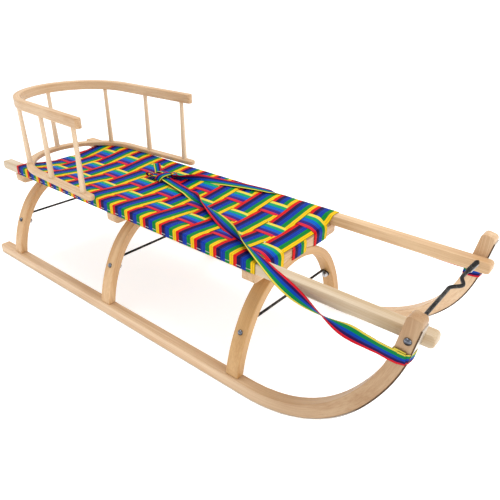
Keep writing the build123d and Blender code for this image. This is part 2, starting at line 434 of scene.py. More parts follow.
class Graph:
    """A material's nodes, built step by step round one shader."""

    def __init__(self, name: str) -> None:
        """Start an empty material.

        Args:
            name: The material's name.
        """
        self.material = bpy.data.materials.new(name)
        self.material.use_nodes = True
        self.tree = self.material.node_tree
        self.shader = self.tree.nodes["Principled BSDF"]

    def feed(self, socket: Socket, value: Value | tuple) -> None:
        """Set an input to a value, or link another node's output to it.

        Args:
            socket: The input.
            value: The value or the output.
        """
        if isinstance(value, bpy.types.NodeSocket):
            self.tree.links.new(value, socket)
        else:
            socket.default_value = value

    def put(self, kind: str, inputs: Inputs, **settings: object) -> bpy.types.Node:
        """Add a node.

        Args:
            kind: The node's type.
            inputs: Its inputs, each a value or another node's output.
            **settings: Its own settings.

        Returns:
            The node.
        """
        node = self.tree.nodes.new(kind)
        for key, value in settings.items():
            setattr(node, key, value)
        for key, value in inputs.items():
            self.feed(node.inputs[key], value)
        return node

    def place(self) -> Socket:
        """Return each point's place in the sled's frame."""
        return self.put("ShaderNodeTexCoord", {}).outputs["Object"]

    def surface(self, measure: str) -> Socket:
        """Return one of the surface's own measures, such as its normal."""
        return self.put("ShaderNodeNewGeometry", {}).outputs[measure]

    def parts(self, vector: Socket) -> tuple[Socket, ...]:
        """Return the three parts of a vector."""
        return tuple(self.put("ShaderNodeSeparateXYZ", {0: vector}).outputs)

    def joined(self, x: Value, y: Value = 0.0, z: Value = 0.0) -> Socket:
        """Return the vector with three given parts."""
        return self.put("ShaderNodeCombineXYZ", {0: x, 1: y, 2: z}).outputs[0]

    def math(self, operation: str, first: Value, second: Value = 0.0) -> Socket:
        """Work out a value from others.

        Args:
            operation: The operation's name.
            first: Its first value.
            second: Its second value.

        Returns:
            The result.
        """
        return self.put("ShaderNodeMath", {0: first, 1: second}, operation=operation).outputs[0]

    def weighed(self, *pairs: tuple[Socket, float]) -> Socket:
        """Add values up, each by its weight.

        Args:
            *pairs: The values and their weights.

        Returns:
            The sum.
        """
        terms = [self.math("MULTIPLY", value, weight) for value, weight in pairs]
        total = terms[0]
        for term in terms[1:]:
            total = self.math("ADD", total, term)
        return total

    def wave(self, value: Socket) -> Socket:
        """Return a row of round humps from 0 to 1, one for each whole step of a value."""
        return self.math("ABSOLUTE", self.math("SINE", self.math("MULTIPLY", value, pi)))

    def noise(
        self, vector: Socket, scale: float, detail: float = 3.0, distortion: float = 0.0
    ) -> Socket:
        """Return a noise value from 0 to 1.

        Args:
            vector: Where it is read.
            scale: Its scale.
            detail: The number of its finer layers.
            distortion: How much it is stirred.

        Returns:
            The value.
        """
        inputs = {"Vector": vector, "Scale": scale, "Detail": detail, "Distortion": distortion}
        return self.put("ShaderNodeTexNoise", inputs).outputs["Fac"]

    def ramp(self, value: Socket, stops: Sequence[tuple[float, Colour]]) -> Socket:
        """Turn a value into a colour.

        Args:
            value: The value, 0 to 1.
            stops: Places and their colours.

        Returns:
            The colour.
        """
        node = self.put("ShaderNodeValToRGB", {"Fac": value})
        steps = node.color_ramp
        while len(steps.elements) < len(stops):
            steps.elements.new(1.0)
        for element, (place, colour) in zip(steps.elements, stops):
            element.position = place
            element.color = (*colour, 1.0)
        return node.outputs["Color"]

    def mix(
        self, share: Value, first: Socket | Colour, second: Socket | Colour, blend: str = "MIX"
    ) -> Socket:
        """Mix two colours.

        Args:
            share: The second colour's share.
            first: The first colour.
            second: The second colour.
            blend: How they are mixed.

        Returns:
            The mixed colour.
        """
        node = self.tree.nodes.new("ShaderNodeMix")
        node.data_type = "RGBA"
        node.blend_type = blend
        for key, value in (("Factor", share), ("A", first), ("B", second)):
            socket = next(s for s in node.inputs if s.name == key and s.enabled)
            self.feed(socket, (*value, 1.0) if isinstance(value, tuple) else value)
        return next(s for s in node.outputs if s.enabled)

    def span(self, value: Socket, old: tuple[float, float], new: tuple[float, float]) -> Socket:
        """Stretch a value from one span to another.

        Args:
            value: The value.
            old: The old span's low and high end.
            new: The new span's low and high end.

        Returns:
            The stretched value.
        """
        ends = {"From Min": old[0], "From Max": old[1], "To Min": new[0], "To Max": new[1]}
        inputs = {"Value": value, **ends}
        return self.put("ShaderNodeMapRange", inputs).outputs[0]

    def bump(
        self, height: Socket, strength: float, distance: float, below: Socket | None = None
    ) -> Socket:
        """Turn a height into a bent surface direction.

        Args:
            height: The height.
            strength: The share of it that shows.
            distance: Its size in metres.
            below: A direction that it is laid on.

        Returns:
            The direction.
        """
        inputs: Inputs = {"Height": height, "Strength": strength, "Distance": distance}
        if below is not None:
            inputs["Normal"] = below
        return self.put("ShaderNodeBump", inputs).outputs[0]

    def finish(self, inputs: Inputs) -> bpy.types.Material:
        """Set the shader's inputs.

        Args:
            inputs: The inputs, each a value or another node's output.

        Returns:
            The finished material.
        """
        for key, value in inputs.items():
            self.feed(self.shader.inputs[key], value)
        return self.material


class Grain(Enum):
    """How the wood's grain runs through a piece."""

    FORWARD = "x"
    ACROSS = "y"
    UPRIGHT = "z"
    RUNNER = "runner"
    ARCH = "arch"
    HOOP = "hoop"


@dataclass(frozen=True)
class Beech:
    """Steam-bent beech under a thin satin varnish."""

    name: str
    grain: Grain
    seed: float = 0.0
    light: Colour = linear(222, 190, 152)
    dark: Colour = linear(190, 147, 102)
    bend_centre: tuple[float, float] = (0.0, 0.0)
    bend_radius: float = 1.0
    # A colour multiplied over the wood from the first to the second place along the sled, darker towards the
    # front.
    fore_darkening: Colour | None = None
    fore_reach: tuple[float, float] = (0.16, 0.36)
    bands: tuple[float, float] = (0.45, 0.011)
    streaks: tuple[float, float] = (0.09, 0.0016)
    flecks: tuple[float, float] = (0.0035, 0.0006)
    clouds: tuple[float, float] = (0.16, 0.05)

    def grain_places(self, graph: Graph) -> tuple[Socket, Socket, Socket]:
        """Find each point's place along, through and across the grain.

        Args:
            graph: The material under construction.

        Returns:
            The place along the grain and the two places square to it.
        """
        x, y, z = graph.parts(graph.place())
        if self.grain is Grain.FORWARD:
            return x, y, z
        if self.grain is Grain.ACROSS:
            return y, x, z
        if self.grain is Grain.UPRIGHT:
            return z, x, y
        start, middle = self.bend_centre
        if self.grain is Grain.RUNNER:
            ahead = graph.math("MAXIMUM", graph.math("SUBTRACT", x, start), 0.0)
            down = graph.math("SUBTRACT", middle, z)
            flat = graph.math("MINIMUM", x, start)
            other = y
        elif self.grain is Grain.ARCH:
            ahead = y
            down = graph.math("SUBTRACT", z, middle)
            flat = None
            other = x
        else:
            ahead = graph.math("MAXIMUM", graph.math("SUBTRACT", start, x), 0.0)
            down = graph.math("ABSOLUTE", y)
            flat = graph.math("MAXIMUM", x, start)
            other = z
        turn = graph.math("ARCTAN2", ahead, down)
        along = graph.math("MULTIPLY", turn, self.bend_radius)
        if flat is not None:
            along = graph.math("ADD", along, flat)
        squares = [graph.math("MULTIPLY", reach, reach) for reach in (ahead, down)]
        return along, graph.math("SQRT", graph.math("ADD", *squares)), other

    def make(self) -> bpy.types.Material:
        """Build the finish.

        Returns:
            The material.
        """
        graph = Graph(self.name)
        along, through, across = self.grain_places(graph)
        base = graph.joined(graph.math("ADD", along, self.seed), through, across)

        def figure(size: tuple[float, float], detail: float, distortion: float = 0.0) -> Socket:
            """Return one of the grain's figures.

            Args:
                size: Its length along the grain and its width across it.
                detail: The number of its finer layers.
                distortion: How much it is stirred.

            Returns:
                Its value, 0 to 1.
            """
            length, width = size
            inputs = {0: base, 1: (1 / length, 1 / width, 1 / width)}
            scaled = graph.put("ShaderNodeVectorMath", inputs, operation="MULTIPLY").outputs[0]
            return graph.noise(scaled, 1.0, detail, distortion)

        bands = figure(self.bands, 2.0, 0.25)
        streaks = figure(self.streaks, 4.0)
        flecks = figure(self.flecks, 1.0)
        clouds = figure(self.clouds, 2.0)
        tone = graph.weighed((bands, 0.35), (streaks, 0.35), (clouds, 0.3))
        wood = graph.ramp(tone, [(0.36, self.dark), (0.60, self.light)])
        ray = graph.span(flecks, (0.60, 0.72), (0.0, 0.22))
        wood = graph.mix(ray, wood, tuple(0.62 * c for c in self.dark))
        # Darker towards the front, from the first place to the second.
        if self.fore_darkening:
            fore = graph.span(graph.parts(graph.place())[0], self.fore_reach, (0.0, 1.0))
            wood = graph.mix(fore, wood, self.fore_darkening, "MULTIPLY")
        pores = graph.bump(streaks, 0.12, 0.0004)
        return graph.finish(
            {
                "Base Color": wood,
                "Roughness": graph.span(streaks, (0.3, 0.7), (0.38, 0.52)),
                "Normal": graph.bump(flecks, 0.06, 0.0003, pores),
                "Coat Weight": 0.12,
                "Coat Roughness": 0.32,
                "Specular IOR Level": 0.4,
            }
        )


@dataclass(frozen=True)
class Webbing:
    """Ribbed polypropylene webbing woven in five stripes, from red to yellow."""

    name: str
    red: Colour = linear(228, 20, 16)
    navy: Colour = linear(28, 0, 74)
    blue: Colour = linear(0, 58, 172)
    green: Colour = linear(0, 138, 52)
    yellow: Colour = linear(252, 204, 20)
    yellow_from: float = 0.80
    ribs: int = 10
    pick: float = 0.0017
    # The weave's valleys between ribs and picks are darkened by this share: painted shade.
    groove_painted_shade: float = 0.56
    # Each strap's edges are darkened to this share: painted shade that draws dark lines between neighbouring
    # straps.
    edge_painted_shade: float = 0.42
    fade: float = 0.012
    # Colours for faces that look forward; on the long straps these undo the painted sheen there.
    front: "Webbing | None" = None

    def stops(self) -> list[tuple[float, Colour]]:
        """Return the stripes' colours by their share of the width."""
        return [
            (0.0, self.red), (0.168, self.red), (0.180, self.navy), (0.330, self.navy), (0.420, self.blue),
            (0.595, self.blue), (0.612, self.green), (self.yellow_from, self.green),
            (self.yellow_from + 0.015, self.yellow),
        ]

    def make(self) -> bpy.types.Material:
        """Build the finish.

        Returns:
            The material.
        """
        graph = Graph(self.name)
        length, share, _ = graph.parts(graph.put("ShaderNodeUVMap", {}).outputs[0])
        wander = graph.noise(graph.joined(length), 60.0, 1.0)
        edge = graph.math("ADD", share, graph.span(wander, (0.0, 1.0), (-0.006, 0.006)))
        stripes = graph.ramp(edge, self.stops())
        # Forward-facing faces take the front colours; elsewhere the long straps keep their painted sheen.
        if self.front:
            facing = graph.parts(graph.surface("Normal"))[0]
            share_in_front = graph.span(facing, (0.35, 0.75), (0.0, 1.0))
            stripes = graph.mix(share_in_front, stripes, graph.ramp(edge, self.front.stops()))
        rib = graph.math("MULTIPLY", share, float(self.ribs))
        odd = graph.math("MODULO", graph.math("FLOOR", rib), 2.0)
        picks = graph.math("DIVIDE", length, self.pick)
        phase = graph.math("ADD", picks, graph.math("MULTIPLY", odd, 0.5))
        weave = graph.math("MULTIPLY", graph.wave(rib), graph.wave(phase))
        # Painted shade in the weave's valleys.
        shade = graph.span(weave, (0.0, 0.7), (self.groove_painted_shade, 1.0))
        # Painted shade: a thin dark line along both edges of the strap.
        border = graph.math("ABSOLUTE", graph.math("SUBTRACT", share, 0.5))
        edge_shade = graph.span(border, (0.468, 0.494), (1.0, self.edge_painted_shade))
        colour = stripes
        for tone in (shade, edge_shade):
            colour = graph.mix(1.0, colour, graph.joined(tone, tone, tone), "MULTIPLY")
        threads = graph.noise(graph.joined(length, share), 900.0, 2.0)
        worn = graph.span(threads, (0.5, 0.8), (0.0, self.fade))
        return graph.finish(
            {
                "Base Color": graph.mix(worn, colour, (0.9, 0.9, 0.9)),
                "Roughness": graph.span(threads, (0.2, 0.8), (0.42, 0.6)),
                "Normal": graph.bump(weave, 0.5, 0.0005),
                "Specular IOR Level": 0.08,
            }
        )


@dataclass(frozen=True)
class Steel:
    """Steel rod, strip or fastener, from bright zinc to blackened."""

    name: str
    colour: Colour
    worn: Colour
    roughness: float = 0.35
    metallic: float = 1.0
    speckle: float = 500.0
    # The side colour is painted shade: sideways-facing faces, rising from the first height to the second, are
    # mixed towards it in place of a dark reflection.
    painted_side_shade: Colour | None = None
    painted_side_rise: tuple[float, float] = (0.04, 0.10)
    # The under colour is painted shade: faces that look down are mixed towards it, a dark reflection painted
    # under each bolt head.
    painted_under_shade: Colour | None = None

    def make(self) -> bpy.types.Material:
        """Build the finish.

        Returns:
            The material.
        """
        graph = Graph(self.name)
        place = graph.place()
        fine = graph.noise(place, self.speckle, 4.0)
        broad = graph.noise(place, 45.0, 3.0)
        wear = graph.span(graph.math("MULTIPLY", fine, broad), (0.24, 0.40), (0.0, 0.8))
        colour = graph.mix(wear, self.colour, self.worn)
        # Painted shade: sideways-facing faces above a given height are darkened.
        if self.painted_side_shade:
            sideways = graph.math("ABSOLUTE", graph.parts(graph.surface("True Normal"))[1])
            side = graph.span(sideways, (0.6, 0.8), (0.0, 1.0))
            rise = graph.span(graph.parts(graph.surface("Position"))[2], self.painted_side_rise, (0.0, 1.0))
            colour = graph.mix(graph.math("MULTIPLY", side, rise), colour, self.painted_side_shade)
        # Painted shade: faces that look down are darkened.
        if self.painted_under_shade:
            upward = graph.parts(graph.surface("Normal"))[2]
            colour = graph.mix(graph.span(upward, (-0.15, 0.30), (1.0, 0.0)), colour, self.painted_under_shade)
        dull = (self.roughness - 0.08, self.roughness + 0.12)
        return graph.finish(
            {
                "Base Color": colour,
                "Roughness": graph.span(fine, (0.3, 0.7), dull),
                "Metallic": self.metallic,
                "Normal": graph.bump(fine, 0.12, 0.0002),
            }
        )


SEAT_WEBBING = Webbing("rainbow_webbing")
# The long straps' paler, cooler colours are painted sheen, the light that glances off their weave; faces that
# look forward keep the seat's deep colours.
SHEEN_PAINTED_WEBBING = Webbing(
    "rainbow_webbing_painted_sheen",
    red=linear(228, 40, 66),
    navy=linear(62, 32, 132),
    blue=linear(0, 102, 208),
    green=linear(0, 166, 112),
    yellow=linear(250, 226, 84),
    front=SEAT_WEBBING,
)
TOW_WEBBING = Webbing(
    "rainbow_webbing_tow",
    red=linear(226, 28, 46),
    navy=linear(44, 14, 84),
    blue=linear(0, 72, 184),
    green=linear(0, 140, 74),
    yellow=linear(246, 222, 84),
    yellow_from=0.86,
)
BLACKENED = Steel("blackened_steel", linear(46, 45, 44), linear(120, 116, 110), roughness=0.42)
ZINC = Steel("bright_zinc", linear(196, 196, 198), linear(150, 148, 144), roughness=0.28)
CHROME = Steel(
    "chrome_painted_under_shade",
    linear(132, 138, 150),
    linear(84, 86, 94),
    roughness=0.12,
    speckle=240.0,
    # Painted shade: the lower half of each bolt head is nearly black.
    painted_under_shade=linear(30, 22, 20),
)

RAIL_TONES = {
    Side.LEFT: (linear(224, 190, 148), linear(190, 144, 98)),
    Side.RIGHT: (linear(216, 198, 172), linear(190, 162, 124)),
}
RUNNER_TONES = (linear(230, 200, 164), linear(198, 156, 112))
# Only the right runner is made darker towards its front.
RUNNER_FORE_DARKENING = {Side.LEFT: None, Side.RIGHT: (0.66, 0.59, 0.51)}
ARCH_TONES = {
    Arch.REAR: (linear(226, 188, 142), linear(196, 148, 96)),
    Arch.MIDDLE: (linear(226, 188, 142), linear(196, 148, 96)),
    Arch.FRONT: (linear(208, 166, 112), linear(178, 128, 70)),
}
SPINDLE_TONES = (linear(236, 212, 182), linear(214, 180, 140))


# ---------------------------------------------------------------------------
# Studio
# ---------------------------------------------------------------------------


@dataclass
class ProductCamera:
    """The camera's stand and lens."""

    place: Point = (0.6939, -0.6839, 0.6507)
    azimuth: float = radians(38.99)
    elevation: float = radians(28.60)
    roll: float = radians(0.38)
    lens: float = 37.07
    sensor: float = 36.0
    shift: tuple[float, float] = (-0.0004, 0.0006)
    clip_start: float = 0.05

    def build(self) -> bpy.types.Object:
        """Stand the camera up and make it the scene's own.

        Returns:
            The camera.
        """
        a, e, r = self.azimuth, self.elevation, self.roll
        level = Vector((cos(a), sin(a), 0))
        back = Vector((sin(a) * cos(e), -cos(a) * cos(e), sin(e)))
        rise = back.cross(level)
        right = level * cos(r) + rise * sin(r)
        up = rise * cos(r) - level * sin(r)
        data = bpy.data.cameras.new("camera")
        data.lens = self.lens
        data.sensor_width = self.sensor
        data.shift_x, data.shift_y = self.shift
        data.clip_start = self.clip_start
        camera = bpy.data.objects.new("camera", data)
        turn = Matrix((right, up, back)).transposed().to_4x4()
        camera.matrix_world = Matrix.Translation(self.place) @ turn
        bpy.context.scene.collection.objects.link(camera)
        bpy.context.scene.camera = camera
        return camera


@dataclass
class Studio:
    """A pale floor and soft white light."""

    floor_size: float = 30.0
    floor_colour: Colour = (0.84, 0.84, 0.84)
    sky: float = 0.8
    glow: float = 0.5
    aim: Point = (0.0, 0.0, 0.15)

    def floor(self) -> bpy.types.Object:
        """Lay the floor.

        Returns:
            The floor.
        """
        half = self.floor_size / 2
        mesh = bpy.data.meshes.new("floor")
        corners = [(-half, -half, 0), (half, -half, 0), (half, half, 0), (-half, half, 0)]
        mesh.from_pydata(corners, [], [(0, 1, 2, 3)])
        material = Graph("pale_floor").finish(
            {
                "Base Color": (*self.floor_colour, 1.0),
                "Roughness": 0.9,
                "Specular IOR Level": 0.0,
                "Emission Color": WHITE,
                "Emission Strength": self.glow,
            }
        )
        mesh.materials.append(material)
        floor = bpy.data.objects.new("floor", mesh)
        bpy.context.scene.collection.objects.link(floor)
        return floor

    def lamp(self, name: str, place: Vector, size: float, power: float) -> None:
        """Hang a soft square lamp aimed at the sled.

        Args:
            name: Its name.
            place: Where it hangs.
            size: The length of its side.
            power: Its power in watts.
        """
        data = bpy.data.lights.new(name, "AREA")
        data.shape = "SQUARE"
        data.size = size
        data.energy = power
        lamp = bpy.data.objects.new(name, data)
        lamp.rotation_euler = (Vector(self.aim) - place).to_track_quat("-Z", "Y").to_euler()
        lamp.location = place
        bpy.context.scene.collection.objects.link(lamp)

    def build(self) -> None:
        """Set up the floor, the sky and the lamps."""
        self.floor()
        world = bpy.data.worlds.new("studio")
        bpy.context.scene.world = world
        world.use_nodes = True
        sky = world.node_tree.nodes["Background"]
        sky.inputs["Color"].default_value = WHITE
        sky.inputs["Strength"].default_value = self.sky
        self.lamp("key", Vector((-0.6, 0.2, 3.0)), size=1.6, power=42.0)
        self.lamp("fill", Vector((2.8, 0.4, 1.5)), size=1.6, power=22.0)
        bpy.context.scene.view_settings.view_transform = "Standard"


# ---------------------------------------------------------------------------
# The frame's wood and steel
# ---------------------------------------------------------------------------


@dataclass
class WoodenFrame:
    """The frame's own solids, dressed in beech and steel where they stand."""

    edge_radius: float = 0.0016
    rail_edge_radius: float = 0.00096
    hoop_edge_radius: float = 0.00224
    weld_reach: float = 0.00002
    flat_angle: float = radians(0.4)
    edge_angle: float = radians(30)
    runner_bend: tuple[float, float] = (0.271, 0.2645)
    arch_centre: float = 0.052
    arch_bend: float = 0.150
    hoop_centre: float = -0.3635
    hoop_bend: float = 0.1315

    def soften(self, node: bpy.types.Object, radius: float) -> None:
        """Round a node's edges slightly, as sanding does.

        Args:
            node: The frame's node.
            radius: The rounding's size.
        """
        weld = node.modifiers.new("weld", "WELD")
        weld.merge_threshold = self.weld_reach
        flats = node.modifiers.new("whole_flats", "DECIMATE")
        flats.decimate_type = "DISSOLVE"
        flats.angle_limit = self.flat_angle
        bevel = node.modifiers.new("sanded_edges", "BEVEL")
        bevel.width = radius
        bevel.segments = 3
        bevel.limit_method = "ANGLE"
        bevel.angle_limit = self.edge_angle
        bevel.use_clamp_overlap = False
        node.modifiers.new("even_shading", "WEIGHTED_NORMAL")

    def dress(self, name: str, material: bpy.types.Material, radius: float = 0.0) -> None:
        """Give a node its finish and softened edges.

        Args:
            name: The node's name.
            material: Its finish.
            radius: The rounding of its edges, or 0 for none.
        """
        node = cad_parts[name]
        node.data.materials.clear()
        node.data.materials.append(material)
        if radius:
            self.soften(node, radius)
        LOG.info("%s: dressed in %s", name, material.name)

    def build(self) -> None:
        """Dress every wooden node and the steel shoes."""
        for side in Side:
            word = side.word
            rail = Beech(f"beech_rail_{word}", Grain.FORWARD, 0.37 * side.value, *RAIL_TONES[side])
            self.dress(f"rail_{word}", rail.make(), self.rail_edge_radius)
            runner = Beech(
                f"beech_runner_{word}",
                Grain.RUNNER,
                1.3 + side.value,
                *RUNNER_TONES,
                fore_darkening=RUNNER_FORE_DARKENING[side],
                bend_centre=self.runner_bend,
                bend_radius=self.runner_bend[1],
            )
            self.dress(f"runner_{word}", runner.make(), self.edge_radius)
            strip = Steel(
                f"shoe_steel_{word}",
                linear(226, 220, 212),
                linear(196, 188, 178),
                roughness=0.40,
                # Painted shade: a dark brown on the shoe's sideways faces where it rises round the horn.
                painted_side_shade=linear(84, 66, 52),
            )
            self.dress(f"shoe_{word}", strip.make())
        for number, arch in enumerate(Arch):
            bow = Beech(
                f"beech_arch_{arch.value}",
                Grain.ARCH,
                2.1 + number,
                *ARCH_TONES[arch],
                bend_centre=(0.0, self.arch_centre),
                bend_radius=self.arch_bend,
            )
            self.dress(f"arch_{arch.value}", bow.make(), self.edge_radius)
            board = Beech(f"beech_crosspiece_{arch.value}", Grain.ACROSS, 5.4 + number)
            self.dress(f"crosspiece_{arch.value}", board.make(), self.edge_radius)
        for number, place in enumerate(("base", "top")):
            hoop = Beech(
                f"beech_hoop_{place}",
                Grain.HOOP,
                8.2 + number,
                bend_centre=(self.hoop_centre, 0.0),
                bend_radius=self.hoop_bend,
            )
            self.dress(f"backrest_{place}", hoop.make(), self.hoop_edge_radius)


@dataclass
class Spindles:
    """The backrest's turned spindles, fuller at the foot."""

    count: int = 7
    foot: float = 0.0060
    neck: float = 0.0053
    head: float = 0.0045
    sunk: float = 0.001

    def build(self) -> None:
        """Turn each spindle in its place between the hoops."""
        for number in range(1, self.count + 1):
            low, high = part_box(f"spindle_{number}")
            centre = (low + high) / 2
            height = high.z - low.z
            profile = [
                (-self.sunk, self.foot * 0.96),
                (0.002, self.foot),
                (0.03, self.foot * 0.97),
                (height * 0.4, self.neck),
                (height * 0.8, self.head * 1.02),
                (height - 0.006, self.head),
                (height + self.sunk, self.head * 1.05),
            ]
            line = smooth_line([(height, radius, 0.0) for height, radius in profile], 6)
            foot = Vector((centre.x, centre.y, low.z))
            skin = turned([(point.x, point.y) for point in line], foot, UPWARD)
            wood = Beech(f"beech_spindle_{number}", Grain.UPRIGHT, 11.0 + number, *SPINDLE_TONES).make()
            make_piece(f"turned_spindle_{number}", [skin], wood, [f"spindle_{number}"])


@dataclass
class Rods:
    """The three tie rods and the pull bar, with their eyes, bolts and nuts.

    The bend of a rod's elbow is given by steps outward and up. A bolt head is given by its radius and height.
    """

    blackened: bpy.types.Material
    zinc: bpy.types.Material
    chrome: bpy.types.Material
    rod_radius: float = 0.0026
    bar_radius: float = 0.0031
    elbow: float = 0.1178
    left_z: float = 0.1105
    right_z: float = 0.1155
    leg_face_y: float = 0.1305
    leg_face_z: float = 0.0987
    leg_slope: float = radians(64.0)
    leg_depth: float = 0.017
    elbow_bend: Stops = ((0.004, -0.006), (-0.001, 0.0), (-0.012, 0.0))
    eye_thickness: float = 0.0034
    eye_depth: float = 0.0019
    nut_depth: float = 0.0036
    rod_in_eye: float = 0.0005
    rod_eye_radius: float = 0.0078
    bar_eye_radius: float = 0.0088
    bar_eye_x: float = 0.5215
    bar_eye_z: float = 0.233
    bar_eye_gap: float = 0.0018
    nut_flats: float = 0.011
    head_seat: float = 0.0006
    leg_head: tuple[float, float] = (0.0050, 0.0040)
    horn_head: tuple[float, float] = (0.0058, 0.0046)
    horn_head_x: float = 0.5225
    horn_head_z: float = 0.2349
    horn_width: float = 0.0216
    bar_end_count: int = 9
    bar_end_swell: float = 1.35
    bar_tip: float = 0.5
    clip_radius: float = 0.0013
    clip_shift: Point = (0.0040, 0, -0.0012)
    bar_points: tuple[Point, ...] = (
        (0.5170, -0.1062, 0.236),
        (0.5170, -0.080, 0.236),
        (0.5170, 0.000, 0.236),
        (0.5165, 0.010, 0.236),
        (0.5300, 0.023, 0.236),
        (0.5305, 0.031, 0.236),
        (0.5215, 0.046, 0.236),
        (0.5210, 0.056, 0.236),
        (0.5235, 0.085, 0.2385),
        (0.5270, 0.1040, 0.2430),
    )

    def eye(self, place: Vector, axis: Vector, radius: float) -> Loft:
        """Build a rod's flattened eye.

        Args:
            place: The middle of the eye.
            axis: The direction of its hole.
            radius: Its outer radius.

        Returns:
            The eye's skin.
        """
        half = self.eye_thickness / 2
        rim = ((-1, 0.2), (-1, 0.88), (-0.6, 1), (0.6, 1), (1, 0.88), (1, 0.2))
        return turned([(half * level, radius * share) for level, share in rim], place, axis)

    def bolt_head(self, place: Vector, axis: Vector, radius: float, height: float) -> Loft:
        """Build a low domed bolt head.

        Args:
            place: The middle of its seat.
            axis: The direction it faces.
            radius: Its radius.
            height: Its height.

        Returns:
            The head's skin.
        """
        seat = self.head_seat
        profile = [(-0.0005, radius * 0.97), (seat, radius)]
        for i in range(1, 7):
            turn = pi / 2 * i / 7
            profile.append((seat + (height - seat) * sin(turn), radius * cos(turn)))
        return turned(profile, place, axis)

    def nut_and_tip(self, place: Vector, axis: Vector) -> list[Loft]:
        """Build a nut with its washer and the bolt's tip.

        Args:
            place: The middle of the washer's seat.
            axis: The direction it faces.

        Returns:
            The skins.
        """
        axis = axis.normalized()
        flats = self.nut_flats
        washer = ((0.0, 0.62), (0.0002, 0.65), (0.0011, 0.65), (0.0013, 0.6))
        tip = ((0.0, 0.27), (0.62, 0.27), (0.68, 0.2))
        return [
            turned([(height, flats * share) for height, share in washer], place, axis),
            hexagon(place + axis * washer[-1][0], axis, flats, flats * 0.42, 0.3),
            turned([(flats * height, flats * share) for height, share in tip], place, axis, 14),
        ]

    def tie_rod(self, arch: Arch) -> None:
        """Build one tie rod with its bolts through the arch's legs.

        Args:
            arch: The arch it braces.
        """
        x = box_centre(f"arch_{arch.value}").x
        controls = []
        fasteners = []
        heads = []
        skins = []
        for side, elbow_z in ((Side.RIGHT, self.right_z), (Side.LEFT, self.left_z)):
            sign = side.value
            outward = Vector((0, sign * sin(self.leg_slope), cos(self.leg_slope)))
            face = Vector((x, sign * self.leg_face_y, self.leg_face_z))
            eye = face - outward * self.eye_depth
            skins.append(self.eye(eye, outward, self.rod_eye_radius))
            run = [eye - outward * self.rod_in_eye]
            for out, rise in self.elbow_bend:
                run.append(Vector((x, sign * (self.elbow + out), elbow_z + rise)))
            controls += run if side is Side.RIGHT else run[::-1]
            fasteners += self.nut_and_tip(face - outward * self.nut_depth, -outward)
            heads.append(self.bolt_head(face + outward * self.leg_depth, outward, *self.leg_head))
        line = smooth_line(controls)
        skins.append(tube(line, [self.rod_radius] * len(line)))
        name = arch.value
        make_piece(f"tie_rod_bar_{name}", skins, self.blackened, [f"tie_rod_{name}"])
        make_piece(f"leg_nuts_{name}", fasteners, self.zinc)
        make_piece(f"leg_bolt_heads_{name}", heads, self.chrome)

    def pull_bar(self) -> None:
        """Build the kinked pull bar, with its eye and nut, its swelled end and the horns' bolt heads."""
        low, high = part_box("rail_left")
        line = smooth_line(self.bar_points)
        swelled = [self.bar_radius * self.bar_end_swell] * self.bar_end_count
        swelled[-1] = self.bar_radius * self.bar_tip
        radii = [self.bar_radius] * (len(line) - self.bar_end_count) + swelled
        eye = Vector((self.bar_eye_x, self.bar_eye_gap - low.y, self.bar_eye_z))
        skins = [tube(line, radii), self.eye(eye, LEFTWARD, self.bar_eye_radius)]
        make_piece("pull_bar_rod", skins, self.blackened, ["pull_bar"])
        clip = [point + Vector(self.clip_shift) for point in line[-self.bar_end_count : -2]]
        fasteners = self.nut_and_tip(eye + LEFTWARD * self.bar_eye_gap, LEFTWARD)
        fasteners.append(tube(clip, [self.clip_radius] * len(clip)))
        make_piece("pull_bar_nuts", fasteners, self.zinc)
        heads = []
        for side in Side:
            face = Vector((self.horn_head_x, side.value * (high.y + self.horn_width), self.horn_head_z))
            heads.append(self.bolt_head(face, LEFTWARD * side.value, *self.horn_head))
        make_piece("horn_bolt_heads", heads, self.chrome)

    def build(self) -> None:
        """Build all the rods."""
        for arch in Arch:
            self.tie_rod(arch)
        self.pull_bar()


# ---------------------------------------------------------------------------
# The woven seat
# ---------------------------------------------------------------------------


